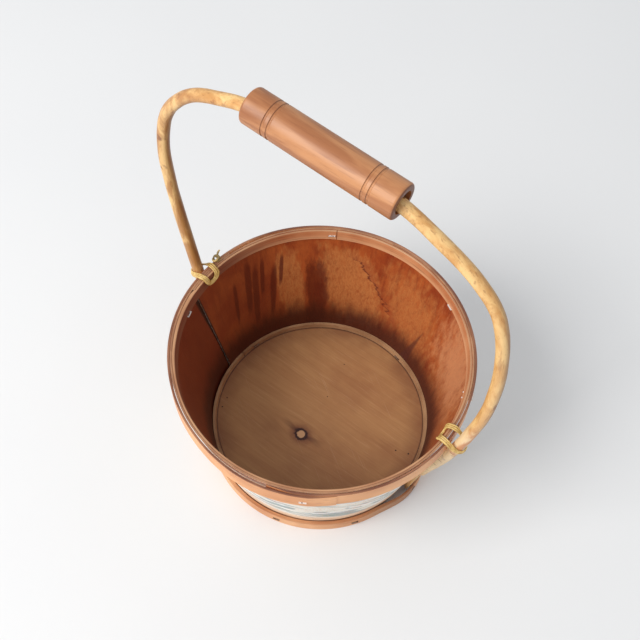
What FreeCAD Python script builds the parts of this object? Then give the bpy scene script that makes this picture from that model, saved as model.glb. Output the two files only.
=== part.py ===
"""Small bentwood sand bucket with a bow handle, as separate pieces.

Frame: millimetres, +Z up, origin at the bottom centre of the bucket. The bow handle lies in the
XZ plane, so its two feet are tied to the rim at +X and at -X. Angles are measured about +Z, from +X.
"""
import FreeCAD, Part
import Sketcher
import math
import os

V = FreeCAD.Vector
UP = V(0, 0, 1)

SIZES = [
    # the wall: one sheet of veneer bent into a cone, its outer end lapped over its inner end
    ("bucket_height", 117.5),
    ("wall_top_radius", 101.5),
    ("wall_base_radius", 78.1),
    ("wall_thickness", 1.2),
    ("wall_seam_base_angle", 185.6),
    ("wall_seam_top_angle", 189.5),
    ("wall_lap_angle", 22.0),
    ("wall_ease_angle", 48.0),
    ("lap_clearance", 0.15),
    # hoops and rings: bent strips
    ("rim_hoop_height", 14.0),
    ("rim_hoop_thickness", 1.6),
    ("rim_hoop_seam_angle", 312.0),
    ("rim_hoop_lap_angle", 25.0),
    ("rim_lining_height", 8.0),
    ("rim_lining_thickness", 1.4),
    ("rim_lining_seam_angle", 121.0),
    ("base_hoop_height", 10.0),
    ("base_hoop_thickness", 1.7),
    ("base_hoop_seam_angle", 225.0),
    ("base_hoop_lap_angle", 22.0),
    ("base_hoop_standoff", 1.5),
    ("hoop_ease_angle", 35.0),
    ("hoop_clearance", 0.3),
    ("ring_clearance", 0.2),
    ("butt_gap", 0.5),
    ("foot_ring_height", 11.0),
    ("foot_ring_thickness", 2.6),
    ("foot_ring_seam_angle", 95.0),
    ("top_ring_height", 3.4),
    ("top_ring_thickness", 1.9),
    ("top_ring_seam_angle", 176.0),
    # the bottom board
    ("board_thickness", 5.0),
    ("board_edge", 0.4),
    # the bow handle
    ("rod_diameter", 8.0),
    ("rod_foot_height", 4.0),
    ("rod_foot_clearance", 0.35),
    ("rod_rim_clearance", 1.4),
    ("rod_bend_clearance", 0.1),
    ("rod_rim_rise", 1.5),
    ("rod_waist_height", 50.0),
    ("tongue_height", 44.0),
    ("tongue_step", 1.6),
    ("scarf_height", 78.0),
    ("tongue_clearance", 0.4),
    ("foot_bulge_flat", 6.0),
    ("foot_bulge_angle", 20.0),
    ("left_bow_a_out", 16.0), ("left_bow_a_up", 47.5),
    ("left_bow_b_out", 19.0), ("left_bow_b_up", 72.5),
    ("left_bow_c_out", 22.0), ("left_bow_c_up", 116.0),
    ("left_bow_d_out", 13.5), ("left_bow_d_up", 154.5),
    ("left_bow_e_out", -9.5), ("left_bow_e_up", 182.5),
    ("right_bow_a_out", 16.0), ("right_bow_a_up", 51.5),
    ("right_bow_b_out", 16.5), ("right_bow_b_up", 97.0),
    ("right_bow_c_out", 11.5), ("right_bow_c_up", 133.5),
    ("right_bow_d_out", 3.5), ("right_bow_d_up", 157.5),
    ("right_bow_e_out", -16.5), ("right_bow_e_up", 175.0),
    ("bend_share", 0.45),
    ("grip_bend_run", 14.0),
    ("grip_left_play", 0.2),
    ("grip_right_play", 1.2),
    ("grip_left_sag", 1.0),
    ("grip_right_sag", 1.6),
    # the turned grip, threaded on the bow
    ("grip_length", 96.2),
    ("grip_diameter", 21.2),
    ("grip_bore_play", 5.6),
    ("grip_rise", 197.9),
    ("grip_shift", -3.5),
    ("grip_tilt", 3.27),
    ("grip_end_round", 1.6),
    ("groove_inset", 15.0),
    ("groove_pitch", 3.5),
    ("groove_radius", 0.9),
    ("groove_depth", 0.5),
    # cane lashings at the two feet
    ("cane_diameter", 1.5),
    ("cane_clearance", 0.2),
    ("cane_hole_drop", 4.2),
    ("cane_hole_spread", 3.1),
    ("cane_hole_pitch", 2.0),
    ("cane_hole_play", 0.15),
    ("cane_dip", 2.5),
    ("cane_reach", 1.4),
    ("strand_drop", 3.9),
    ("strand_spread", 1.7),
    ("knot_angle", 173.2),
    ("knot_radius", 1.9),
    ("knot_cane_diameter", 1.76),
    ("knot_tail_diameter", 1.4),
    ("knot_tail_length", 5.7),
    ("knot_overlap", 0.5),
    # fixings
    ("staple_wire", 0.8),
    ("staple_crown", 5.0),
    ("staple_proud", 0.5),
    ("tack_diameter", 1.2),
    ("tack_head_diameter", 3.4),
    ("tack_head_height", 0.6),
]

doc = FreeCAD.newDocument("sand_bucket")
sheet = doc.addObject("Spreadsheet::Sheet", "Sizes")
for row, (size_name, size_value) in enumerate(SIZES, start=1):
    sheet.set("A%d" % row, size_name)
    sheet.set("B%d" % row, str(size_value))
    sheet.setAlias("B%d" % row, size_name)
doc.recompute()


def size(name):
    """The value of one named cell of the sheet."""
    return float(getattr(sheet, name))


def add_shape(name, shape):
    """A piece whose shape no sketch or primitive gives."""
    piece = doc.addObject("Part::Feature", name)
    piece.Label = name
    piece.Shape = shape
    piece.Placement = FreeCAD.Placement()
    return piece


def add_body(name):
    body = doc.addObject("PartDesign::Body", name)
    body.Label = name
    return body


def origin_plane(body, role):
    return [item for item in body.Origin.OriginFeatures if item.Role == role][0]


def add_sketch(body, name, role):
    sketch = body.newObject("Sketcher::SketchObject", name)
    sketch.AttachmentSupport = [(origin_plane(body, role), "")]
    sketch.MapMode = "FlatFace"
    return sketch


# ---------------------------------------------------------------- shared radii and heights
FOOT_ANGLES = (0.0, 180.0)
height = size("bucket_height")
wall_slope = (size("wall_top_radius") - size("wall_base_radius")) / height
lap_rise = size("wall_thickness") + size("lap_clearance")
rod_radius = size("rod_diameter") / 2
rim_hoop_inside = size("wall_top_radius") + size("hoop_clearance")
rim_hoop_outside = rim_hoop_inside + size("rim_hoop_thickness")
board_bottom = size("foot_ring_height")
board_top = board_bottom + size("board_thickness")


def wall_outside(z):
    """Radius of the wall's outer face at height z, away from the lap."""
    return size("wall_base_radius") + wall_slope * z


def wall_inside(z):
    return wall_outside(z) - size("wall_thickness")


def smooth(share):
    """0 to 1 with level ends."""
    share = min(1.0, max(0.0, share))
    return share * share * (3 - 2 * share)


def plateau(angle, low, high, ease):
    """1 between the angles low and high, easing to 0 over ease degrees on each side."""
    middle = (low + high) / 2
    away = abs((angle - middle + 180) % 360 - 180) - (high - low) / 2
    return 1 - smooth(away / ease)


def at(radius, angle, z):
    turn = math.radians(angle)
    return V(radius * math.cos(turn), radius * math.sin(turn), z)


# ---------------------------------------------------------------- bent strips
STEP_ANGLE = 5.0


def strip_wire(outside, thickness, start, end, z):
    """Closed outline of a bent strip at height z: outer curve, end, inner curve, end."""
    count = int(round((end - start) / STEP_ANGLE))
    angles = [start + (end - start) * index / count for index in range(count + 1)]
    outer = [at(outside(angle), angle, z) for angle in angles]
    inner = [at(outside(angle) - thickness, angle, z) for angle in angles]
    curves = []
    for points in (outer, inner):
        curve = Part.BSplineCurve()
        curve.interpolate(points)
        curves.append(curve.toShape())
    ends = [Part.makeLine(outer[-1], inner[-1]), Part.makeLine(inner[0], outer[0])]
    return Part.Wire(Part.__sortEdges__([curves[0], ends[0], curves[1], ends[1]]))


def bent_strip(outside_low, outside_high, thickness, start, end, z_low, z_high, twist=0.0):
    """Solid strip between two outlines whose outer radius is a function of the angle.

    twist turns the upper outline on, so that the ends of the strip lean.
    """
    low = strip_wire(outside_low, thickness, start, end, z_low)
    high = strip_wire(outside_high, thickness, start + twist, end + twist, z_high)
    return Part.makeLoft([low, high], True, True)


def wall_lap(angle):
    """How far the covering layer of the wall stands out at an angle: it spans the lap and eases off."""
    low = size("wall_seam_base_angle") - size("wall_lap_angle")
    return lap_rise * plateau(angle, low, size("wall_seam_top_angle"), size("wall_ease_angle"))


def make_wall():
    """The sheet starts outside, a lap before the seam, and ends inside at the seam a turn later.

    The seam leans: it is further round at the rim than at the base.
    """
    seam = size("wall_seam_base_angle")
    start = seam - size("wall_lap_angle")
    twist = size("wall_seam_top_angle") - seam
    middle = size("wall_seam_top_angle") + size("wall_ease_angle")

    def layer(radius):
        return lambda angle: radius + (wall_lap(angle) if angle < middle else 0.0)

    return bent_strip(layer(wall_outside(0)), layer(wall_outside(height)), size("wall_thickness"),
                      start, seam + 360, 0, height, twist)


def covering_end(angle, seam, lap, rise):
    """How far a hoop's covering end stands out: nothing up to its lap, then rise up to the seam."""
    ease = size("hoop_ease_angle")
    before_seam = (seam - angle) % 360
    if before_seam > lap + ease:
        return 0.0
    return rise * smooth((lap + ease - before_seam) / ease)


def rim_hoop_face(angle):
    """Radius of the rim hoop's outermost face. It rides over the wall's lap and over its own lap."""
    rise = size("rim_hoop_thickness") + size("lap_clearance")
    own_lap = covering_end(angle, size("rim_hoop_seam_angle"), size("rim_hoop_lap_angle"), rise)
    return rim_hoop_outside + wall_lap(angle) + own_lap


def make_rim_hoop():
    """Outer hoop at the rim: a turn and a lap, its covering end outside."""
    seam = size("rim_hoop_seam_angle")
    lap = size("rim_hoop_lap_angle")

    def outside(angle):
        first_half = angle < seam + 180
        return rim_hoop_outside + wall_lap(angle) if first_half else rim_hoop_face(angle)

    return bent_strip(outside, outside, size("rim_hoop_thickness"), seam - lap, seam + 360,
                      height - size("rim_hoop_height"), height)


def base_hoop_single(angle):
    """Radius of the base hoop's outer face as one layer, over the wall's lap and the bow's tongues."""
    top = size("base_hoop_height")
    bare = wall_outside(top) + size("base_hoop_standoff") + size("base_hoop_thickness")
    over_tongue = bow_foot_line(top) + size("tongue_clearance") + size("base_hoop_thickness") - bare
    half_flat = size("foot_bulge_flat") / 2
    bulge = plateau(angle, -half_flat, half_flat, size("foot_bulge_angle"))
    bulge += plateau(angle, 180 - half_flat, 180 + half_flat, size("foot_bulge_angle"))
    return bare + wall_lap(angle) + over_tongue * bulge


def base_hoop_face(angle):
    """Radius of the base hoop's outermost face, its own lap included."""
    rise = size("base_hoop_thickness") + size("lap_clearance")
    own_lap = covering_end(angle, size("base_hoop_seam_angle"), size("base_hoop_lap_angle"), rise)
    return base_hoop_single(angle) + own_lap


def make_base_hoop():
    """Outer hoop at the base. It bulges over the wall's lap and over the tongues of the bow."""
    seam = size("base_hoop_seam_angle")
    lap = size("base_hoop_lap_angle")

    def outside(angle):
        first_half = angle < seam + 180
        return base_hoop_single(angle) if first_half else base_hoop_face(angle)

    return bent_strip(outside, outside, size("base_hoop_thickness"), seam - lap, seam + 360,
                      0, size("base_hoop_height"))


def inner_ring(z_low, z_high, thickness, seam, clearance):
    """Strip sprung against the inside of the wall, its ends nearly meeting."""
    gap_angle = math.degrees(size("butt_gap") / wall_inside(z_low))

    def face(z):
        return lambda angle: wall_inside(z) - clearance

    return bent_strip(face(z_low), face(z_high), thickness, seam + gap_angle, seam + 360, z_low, z_high)


def bow_foot_line(z):
    """Distance from the bucket's axis to the middle of the rod, on its run below the rim.

    Up to its waist the rod lies along the wall. Above the waist it leans away, over the rim hoop.
    """
    waist = size("rod_waist_height")
    along_wall = beside_wall(min(z, waist))
    return along_wall + max(0.0, z - waist) * (rim_x() - beside_wall(waist)) / (rim_z() - waist)


def beside_wall(z):
    """Distance of the rod's middle from the bucket's axis where the rod lies along the wall."""
    lean = math.sqrt(1 + wall_slope * wall_slope)
    return wall_outside(z) + rod_radius * lean + size("rod_foot_clearance")


def rim_z():
    return height - size("rim_hoop_height") + size("rod_rim_rise")


def rim_x():
    """Distance from the axis to the bow's corner at the rim.

    The bend there cuts the corner, so where the rod comes up steeply the corner moves out until the
    bend clears the rim hoop's lower edge.
    """
    out = rim_hoop_outside + rod_radius + size("rod_rim_clearance")
    foot = V(beside_wall(size("rod_waist_height")), 0, size("rod_waist_height"))
    for prefix in ("left", "right"):
        above = V(rim_hoop_outside + size(prefix + "_bow_a_out"), 0, height + size(prefix + "_bow_a_up"))
        for _ in range(4):
            corner = V(out, 0, rim_z())
            back, ahead = foot - corner, above - corner
            run = size("bend_share") * min(back.Length, ahead.Length)
            turn = math.pi - back.getAngle(ahead)
            cut_off = run * math.tan(turn / 4)
            lean = (back.x / back.z + ahead.x / ahead.z) / 2
            reach = rod_radius * math.sqrt(1 + lean * lean) + lean * size("rod_rim_rise")
            out = max(out, rim_hoop_outside + reach + cut_off + size("rod_bend_clearance"))
    return out


# ---------------------------------------------------------------- bow handle
def bow_points():
    """Corners of the bow's centre line in the XZ plane, for its left side and for its right side.

    Each side runs from its foot up to the corner just outside its end of the grip.
    """
    slope = math.tan(math.radians(size("grip_tilt")))
    grip_z = height + size("grip_rise")
    half_grip = size("grip_length") / 2

    def on_grip(x, sag):
        return V(x, 0, grip_z - slope * x - sag)

    def side(sign, prefix, extra):
        points = [V(sign * (bow_foot_line(z) + extra), 0, z)
                  for z in (size("rod_foot_height"), size("rod_waist_height"), rim_z())]
        for letter in "abcde":
            out = rim_hoop_outside + size("%s_bow_%s_out" % (prefix, letter))
            up = height + size("%s_bow_%s_up" % (prefix, letter))
            points.append(V(sign * out, 0, up))
        return points

    left = side(-1, "left", wall_lap(180.0))
    right = side(1, "right", wall_lap(0.0))
    left.append(on_grip(size("grip_shift") - half_grip - size("grip_left_play"), size("grip_left_sag")))
    right.append(on_grip(size("grip_shift") + half_grip + size("grip_right_play"), size("grip_right_sag")))
    return left, right


def rounded_edges(points, share, caps):
    """Straight runs joined by tangent arcs. caps gives a largest run for the arc at some corners."""
    edges = []
    previous = points[0]
    for index in range(1, len(points) - 1):
        corner = points[index]
        back = points[index - 1] - corner
        ahead = points[index + 1] - corner
        run = share * min(back.Length, ahead.Length)
        run = min(run, caps.get(index, run))
        back.normalize()
        ahead.normalize()
        turn = math.pi - back.getAngle(ahead)
        radius = run / math.tan(turn / 2)
        inward = back + ahead
        inward.normalize()
        middle = corner + inward * (radius / math.cos(turn / 2) - radius)
        first, last = corner + back * run, corner + ahead * run
        if (first - previous).Length > 1e-6:
            edges.append(Part.LineSegment(previous, first))
        edges.append(Part.Arc(first, middle, last))
        previous = last
    edges.append(Part.LineSegment(previous, points[-1]))
    return edges


def make_bow():
    """The bow: a round rod bent to a hoop, its feet shaved to half-round tongues."""
    body = add_body("handle_bow")
    left, right = bow_points()
    points = left + right[::-1]
    caps = {len(left) - 1: size("grip_bend_run"), len(left): size("grip_bend_run")}
    edges = rounded_edges([V(p.x, p.z, 0) for p in points], size("bend_share"), caps)
    path = add_sketch(body, "bow_centre_line", "XZ_Plane")
    for edge in edges:
        path.addGeometry(edge, False)
    doc.recompute()
    section = body.newObject("Sketcher::SketchObject", "bow_section")
    section.AttachmentSupport = [(path, "Edge1")]
    section.MapMode = "NormalToEdge"
    circle = section.addGeometry(Part.Circle(V(0, 0, 0), V(0, 0, 1), rod_radius), False)
    section.addConstraint(Sketcher.Constraint("Coincident", circle, 3, -1, 1))
    section.addConstraint(Sketcher.Constraint("Radius", circle, rod_radius))
    section.setExpression("Constraints[1]", "Sizes.rod_diameter / 2")
    doc.recompute()
    pipe = body.newObject("PartDesign::AdditivePipe", "bow_rod")
    pipe.Profile = section
    pipe.Spine = (path, ["Edge%d" % (i + 1) for i in range(len(edges))])
    body.Tip = pipe
    doc.recompute()
    whole = pipe.Shape.Volume
    cut = add_sketch(body, "tongue_cuts", "XZ_Plane")
    for sign, angle in ((1, 0.0), (-1, 180.0)):
        add_outline(cut, tongue_cut_corners(sign, wall_lap(angle)))
    pocket = body.newObject("PartDesign::Pocket", "tongues")
    pocket.Profile = cut
    pocket.Type = "ThroughAll"
    pocket.Midplane = True
    body.Tip = pocket
    doc.recompute()
    if not whole - 4 * rod_radius ** 2 * size("scarf_height") < pocket.Shape.Volume < whole:
        raise ValueError("the tongues are not cut")
    return body


def add_outline(sketch, corners):
    """Closed polygon in a sketch."""
    for index, corner in enumerate(corners):
        sketch.addGeometry(Part.LineSegment(corners[index - 1], corner), False)
    sketch.recompute()


def tongue_cut_corners(sign, extra):
    """What is shaved off the outer side of a foot: a long scarf, then a half-round tongue below it."""
    beyond = 3 * rod_radius
    outline = [(-beyond, 0.0), (size("tongue_height"), 0.0), (size("tongue_height"), size("tongue_step")),
               (size("scarf_height"), rod_radius), (size("scarf_height"), beyond), (-beyond, beyond)]
    return [V(sign * (bow_foot_line(z) + extra + offset), z, 0) for z, offset in outline]


def make_grip():
    """Turned sleeve threaded loosely on the bow, with two fine grooves near each end."""
    body = add_body("grip")
    half = size("grip_length") / 2
    radius = size("grip_diameter") / 2
    bore = rod_radius + size("grip_bore_play") / 2
    blank = add_sketch(body, "grip_blank", "XZ_Plane")
    add_outline(blank, [V(-half, bore, 0), V(half, bore, 0), V(half, radius, 0), V(-half, radius, 0)])
    # lines in the order they are drawn: left end, bore, right end, outside
    for line, kind in ((0, "Vertical"), (1, "Horizontal"), (2, "Vertical"), (3, "Horizontal")):
        blank.addConstraint(Sketcher.Constraint(kind, line))
    for line in range(4):
        blank.addConstraint(Sketcher.Constraint("Coincident", line, 2, (line + 1) % 4, 1))
    sizes = (("DistanceX", 0, 2, -1, 1, half, "Sizes.grip_length / 2"),
             ("DistanceX", -1, 1, 1, 2, half, "Sizes.grip_length / 2"),
             ("DistanceY", -1, 1, 1, 1, bore, "(Sizes.rod_diameter + Sizes.grip_bore_play) / 2"),
             ("DistanceY", -1, 1, 3, 1, radius, "Sizes.grip_diameter / 2"))
    for kind, first, first_end, second, second_end, value, formula in sizes:
        index = blank.addConstraint(
            Sketcher.Constraint(kind, first, first_end, second, second_end, value))
        blank.setExpression("Constraints[%d]" % index, formula)
    sleeve = body.newObject("PartDesign::Revolution", "grip_sleeve")
    sleeve.Profile = blank
    sleeve.ReferenceAxis = (blank, ["H_Axis"])
    sleeve.Angle = 360
    body.Tip = sleeve
    doc.recompute()
    rims = ["Edge%d" % (number + 1) for number, edge in enumerate(sleeve.Shape.Edges)
            if hasattr(edge.Curve, "Radius") and abs(edge.Curve.Radius - radius) < 1e-3]
    rounded = body.newObject("PartDesign::Fillet", "grip_ends")
    rounded.Base = (sleeve, rims)
    rounded.Radius = size("grip_end_round")
    rounded.setExpression("Radius", "Sizes.grip_end_round")
    body.Tip = rounded
    doc.recompute()
    whole = rounded.Shape.Volume
    cutter = add_sketch(body, "grip_groove_section", "XZ_Plane")
    centre = "Sizes.grip_diameter / 2 + Sizes.groove_radius - Sizes.groove_depth"
    for side in (-1, 1):
        for step in (0, 1):
            inset = size("groove_inset") + step * size("groove_pitch")
            place = V(side * (half - inset), radius + size("groove_radius") - size("groove_depth"), 0)
            ring = cutter.addGeometry(Part.Circle(place, V(0, 0, 1), size("groove_radius")), False)
            bound = (("Radius", (ring,), size("groove_radius"), "Sizes.groove_radius"),
                     ("DistanceY", (-1, 1, ring, 3), place.y, centre),
                     ("DistanceX", (-1, 1, ring, 3) if side > 0 else (ring, 3, -1, 1), abs(place.x),
                      "Sizes.grip_length / 2 - Sizes.groove_inset - %d * Sizes.groove_pitch" % step))
            for kind, where, value, formula in bound:
                index = cutter.addConstraint(Sketcher.Constraint(kind, *where, value))
                cutter.setExpression("Constraints[%d]" % index, formula)
    groove = body.newObject("PartDesign::Groove", "grip_grooves")
    groove.Profile = cutter
    groove.ReferenceAxis = (cutter, ["H_Axis"])
    groove.Angle = 360
    body.Tip = groove
    doc.recompute()
    if not groove.Shape.Volume < whole:
        raise ValueError("the grooves are not cut")
    body.Placement = FreeCAD.Placement(V(0, 0, 0), FreeCAD.Rotation(V(0, 1, 0), size("grip_tilt")))
    slope = "tan(Sizes.grip_tilt * 1deg)"
    body.setExpression("Placement.Base.x", "Sizes.grip_shift")
    body.setExpression("Placement.Base.z",
                       "Sizes.bucket_height + Sizes.grip_rise - Sizes.grip_shift * " + slope)
    body.setExpression("Placement.Rotation.Angle", "Sizes.grip_tilt")
    return body


# ---------------------------------------------------------------- bottom board
def make_board():
    """Round veneer-faced board that drops in on the foot ring."""
    body = add_body("bottom_board")
    outline = add_sketch(body, "board_outline", "XY_Plane")
    radius = wall_inside(board_bottom) - size("ring_clearance")
    circle = outline.addGeometry(Part.Circle(V(0, 0, 0), V(0, 0, 1), radius), False)
    outline.addConstraint(Sketcher.Constraint("Coincident", circle, 3, -1, 1))
    outline.addConstraint(Sketcher.Constraint("Radius", circle, radius))
    outline.setExpression("Constraints[1]", "Sizes.wall_base_radius - Sizes.wall_thickness"
                          " - Sizes.ring_clearance + Sizes.foot_ring_height"
                          " * (Sizes.wall_top_radius - Sizes.wall_base_radius) / Sizes.bucket_height")
    outline.setExpression("AttachmentOffset.Base.z", "Sizes.foot_ring_height")
    board = body.newObject("PartDesign::Pad", "board")
    board.Profile = outline
    board.setExpression("Length", "Sizes.board_thickness")
    body.Tip = board
    doc.recompute()
    edges = ["Edge%d" % (number + 1) for number, edge in enumerate(board.Shape.Edges)
             if hasattr(edge.Curve, "Radius")]
    eased = body.newObject("PartDesign::Chamfer", "board_edges")
    eased.Base = (board, edges)
    eased.setExpression("Size", "Sizes.board_edge")
    body.Tip = eased
    doc.recompute()
    return body


# ---------------------------------------------------------------- fixings
def staple(crown_radius, tip_radius, angle, z):
    """Square wire staple driven along a radius: its crown lies level on one face of the stack."""
    wire = size("staple_wire")
    half = size("staple_crown") / 2
    inward = tip_radius < crown_radius
    crown_low = crown_radius if inward else crown_radius - wire
    crown = Part.makeBox(wire, 2 * half, wire, V(crown_low, -half, z - wire / 2))
    leg_low, leg_high = sorted((tip_radius, crown_radius))
    legs = [Part.makeBox(leg_high - leg_low, wire, wire, V(leg_low, y, z - wire / 2))
            for y in (-half, half - wire)]
    shape = crown.fuse(legs).removeSplitter()
    shape.rotate(V(0, 0, 0), UP, angle)
    return shape


# angle, drop below the rim and side of the crown of each staple through the rim
RIM_STAPLES = ((61.1, 7.2, "inside"), (123.2, 4.3, "inside"), (198.2, 7.2, "inside"),
               (300.4, 7.5, "outside"), (20.0, 7.5, "outside"))
BASE_STAPLE_ANGLES = (285.0, 55.0, 125.0, 325.0)
RING_STAPLE_ANGLES = (167.0, 77.0, 347.0, 257.0)


def make_rim_staples():
    """Staples through lining, wall and hoop. Those put in from inside show their crowns there."""
    proud = size("staple_proud")
    solids = []
    for angle, drop, side in RIM_STAPLES:
        z = height - drop
        lining_face = wall_inside(z) - size("ring_clearance") - size("rim_lining_thickness")
        hoop_face = rim_hoop_face(angle)
        if side == "inside":
            solids.append(staple(lining_face, hoop_face + proud, angle, z))
        else:
            solids.append(staple(hoop_face, lining_face - proud, angle, z))
    return add_shape("rim_staples", Part.makeCompound(solids))


def make_base_staples():
    """Staples through the base hoop and the wall into the foot ring."""
    z = size("base_hoop_height") / 2
    deep = wall_inside(z) - size("foot_ring_thickness") / 2
    solids = [staple(base_hoop_face(angle), deep, angle, z) for angle in BASE_STAPLE_ANGLES]
    return add_shape("base_staples", Part.makeCompound(solids))


def make_ring_staples():
    """Staples through the top ring into the wall. Their crowns lie on the ring's inner face."""
    z = board_top + size("ring_clearance") + size("top_ring_height") / 2
    face = wall_inside(z) - size("ring_clearance") - size("top_ring_thickness")
    tip = wall_inside(z) + size("wall_thickness") / 2
    solids = [staple(face, tip, angle, z) for angle in RING_STAPLE_ANGLES]
    return add_shape("top_ring_staples", Part.makeCompound(solids))


def make_foot_tacks():
    """One tack through the base hoop, the tongue and the wall at each foot of the bow."""
    z = size("base_hoop_height") / 2
    point = wall_inside(z) - size("foot_ring_thickness") / 2
    solids = []
    for angle in FOOT_ANGLES:
        face = base_hoop_face(angle)
        shank = Part.makeCylinder(size("tack_diameter") / 2, face - point, V(point, 0, z), V(1, 0, 0))
        head = Part.makeCylinder(size("tack_head_diameter") / 2, size("tack_head_height"),
                                 V(face, 0, z), V(1, 0, 0))
        tack = shank.fuse(head).removeSplitter()
        tack.rotate(V(0, 0, 0), UP, angle)
        solids.append(tack)
    return add_shape("foot_tacks", Part.makeCompound(solids))


# ---------------------------------------------------------------- cane lashings
def cane_sweep(points, radius):
    """Round cane along straight runs and tangent arcs in space."""
    edges = rounded_edges(points, size("bend_share"), {})
    path = Part.Wire([edge.toShape() for edge in edges])
    start, ahead = points[0], points[1] - points[0]
    section = Part.Wire([Part.makeCircle(radius, start, ahead)])
    return path.makePipeShell([section], True, True, 2)


def lashing_points(strand, extra):
    """One turn of cane: up from a hole in the lining, over the rim, round the bow, back to a second hole.

    Local frame of a foot: x outward, y along the rim, z up. extra is how far the foot stands out.
    """
    cane = size("cane_diameter") / 2
    off = cane + size("cane_clearance")
    pitch = size("cane_diameter") + size("cane_clearance")
    hole_y = size("cane_hole_spread") + strand * size("cane_hole_pitch")
    hole_z = height - size("cane_hole_drop") - strand * pitch
    lining = wall_inside(height - size("rim_lining_height"))
    lining -= size("ring_clearance") + size("rim_lining_thickness")
    inner = math.sqrt(lining ** 2 - hole_y ** 2) - off - size("cane_reach")
    outer = rim_hoop_outside + extra + off + size("cane_reach")
    over = height + off + size("cane_clearance")
    beside = rod_radius + off + strand * pitch
    around_x = bow_at(height - size("cane_dip")) + extra + rod_radius + off + size("cane_clearance")
    around_y = rod_radius + off + strand * size("strand_spread")
    around_z = height - size("cane_dip") - strand * size("strand_drop")
    in_hole = wall_inside(hole_z) - size("ring_clearance") - size("rim_lining_thickness") / 2
    half = [V(math.sqrt(in_hole ** 2 - hole_y ** 2), hole_y, hole_z),
            V(inner, hole_y, hole_z),
            V(inner, hole_y, over),
            V(outer, beside, over),
            V(around_x, around_y, around_z)]
    mirrored = [V(p.x, -p.y, p.z) for p in reversed(half)]
    return half + mirrored


def bow_at(z):
    """Distance of the bow's middle from the bucket's axis a little above the rim hoop's lower edge."""
    low = V(rim_x(), 0, rim_z())
    out = rim_hoop_outside + size("right_bow_a_out")
    up = height + size("right_bow_a_up")
    return low.x + (out - low.x) * (z - low.z) / (up - low.z)


def make_lashing(name, angle):
    """Two turns of cane round the bow at one foot."""
    solids = []
    for strand in (0, 1):
        turn = cane_sweep(lashing_points(strand, wall_lap(angle)), size("cane_diameter") / 2)
        turn.rotate(V(0, 0, 0), UP, angle)
        solids.append(turn)
    return add_shape(name, Part.makeCompound(solids))


def make_knot():
    """Tied end of the left lashing: two small turns of cane and a cut tail on the rim."""
    cane = size("knot_cane_diameter") / 2
    radius = size("knot_radius")
    angle = size("knot_angle")
    base = at(rim_hoop_face(angle) - size("knot_overlap"), angle, height + size("cane_clearance") + cane)
    turn = Part.makeTorus(radius, cane, base, UP)
    crossing = Part.makeTorus(radius, cane, base + V(0, 0, radius + cane / 2), V(1, 0.6, 0))
    tail = Part.makeCylinder(size("knot_tail_diameter") / 2, size("knot_tail_length"),
                             base + V(0, 0, cane), V(-0.2, 1, 0.35))
    return add_shape("lashing_knot_left", turn.fuse([crossing, tail]).removeSplitter())


def cut_cane_holes(lining):
    """Holes for the cane through the lining, on each side of each foot."""
    radius = size("cane_diameter") / 2 + size("cane_hole_play")
    tools = []
    for angle in FOOT_ANGLES:
        for strand in (0, 1):
            points = lashing_points(strand, wall_lap(angle))
            for end, inner in ((points[0], points[1]), (points[-1], points[-2])):
                tool = Part.makeCylinder(radius, 2 * (end - inner).Length, inner, V(1, 0, 0))
                tool.rotate(V(0, 0, 0), UP, angle)
                tools.append(tool)
    return lining.cut(tools)


make_bow()
make_grip()
make_board()
add_shape("wall", make_wall())
add_shape("rim_hoop", make_rim_hoop())
add_shape("base_hoop", make_base_hoop())
lining = inner_ring(height - size("rim_lining_height"), height, size("rim_lining_thickness"),
                    size("rim_lining_seam_angle"), size("ring_clearance"))
add_shape("rim_lining", cut_cane_holes(lining))
add_shape("foot_ring", inner_ring(0, size("foot_ring_height"), size("foot_ring_thickness"),
                                  size("foot_ring_seam_angle"), size("ring_clearance")))
ring_low = board_top + size("ring_clearance")
add_shape("top_ring", inner_ring(ring_low, ring_low + size("top_ring_height"),
                                 size("top_ring_thickness"), size("top_ring_seam_angle"),
                                 size("ring_clearance")))
make_rim_staples()
make_base_staples()
make_ring_staples()
make_foot_tacks()
make_lashing("lashing_right", 0.0)
make_lashing("lashing_left", 180.0)
make_knot()
doc.recompute()

for item in doc.Objects:
    if "Invalid" in item.State or "Error" in item.State:
        raise ValueError("%s failed: %s" % (item.Label, item.State))

pieces = [item for item in doc.Objects
          if item.TypeId in ("PartDesign::Body", "Part::Feature")]
os.makedirs("parts", exist_ok=True)
for piece in pieces:
    if piece.Shape.isNull() or not piece.Shape.isValid():
        raise ValueError("%s has no valid shape" % piece.Label)
    piece.Shape.exportStep("parts/%s.step" % piece.Label)
    box = piece.Shape.BoundBox
    print("%-18s %2d solids %9.1f mm3  x %.1f..%.1f y %.1f..%.1f z %.1f..%.1f" % (
        piece.Label, len(piece.Shape.Solids), piece.Shape.Volume,
        box.XMin, box.XMax, box.YMin, box.YMax, box.ZMin, box.ZMax))
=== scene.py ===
import math

import bmesh
import bpy
from mathutils import Matrix, Vector, noise


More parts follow.
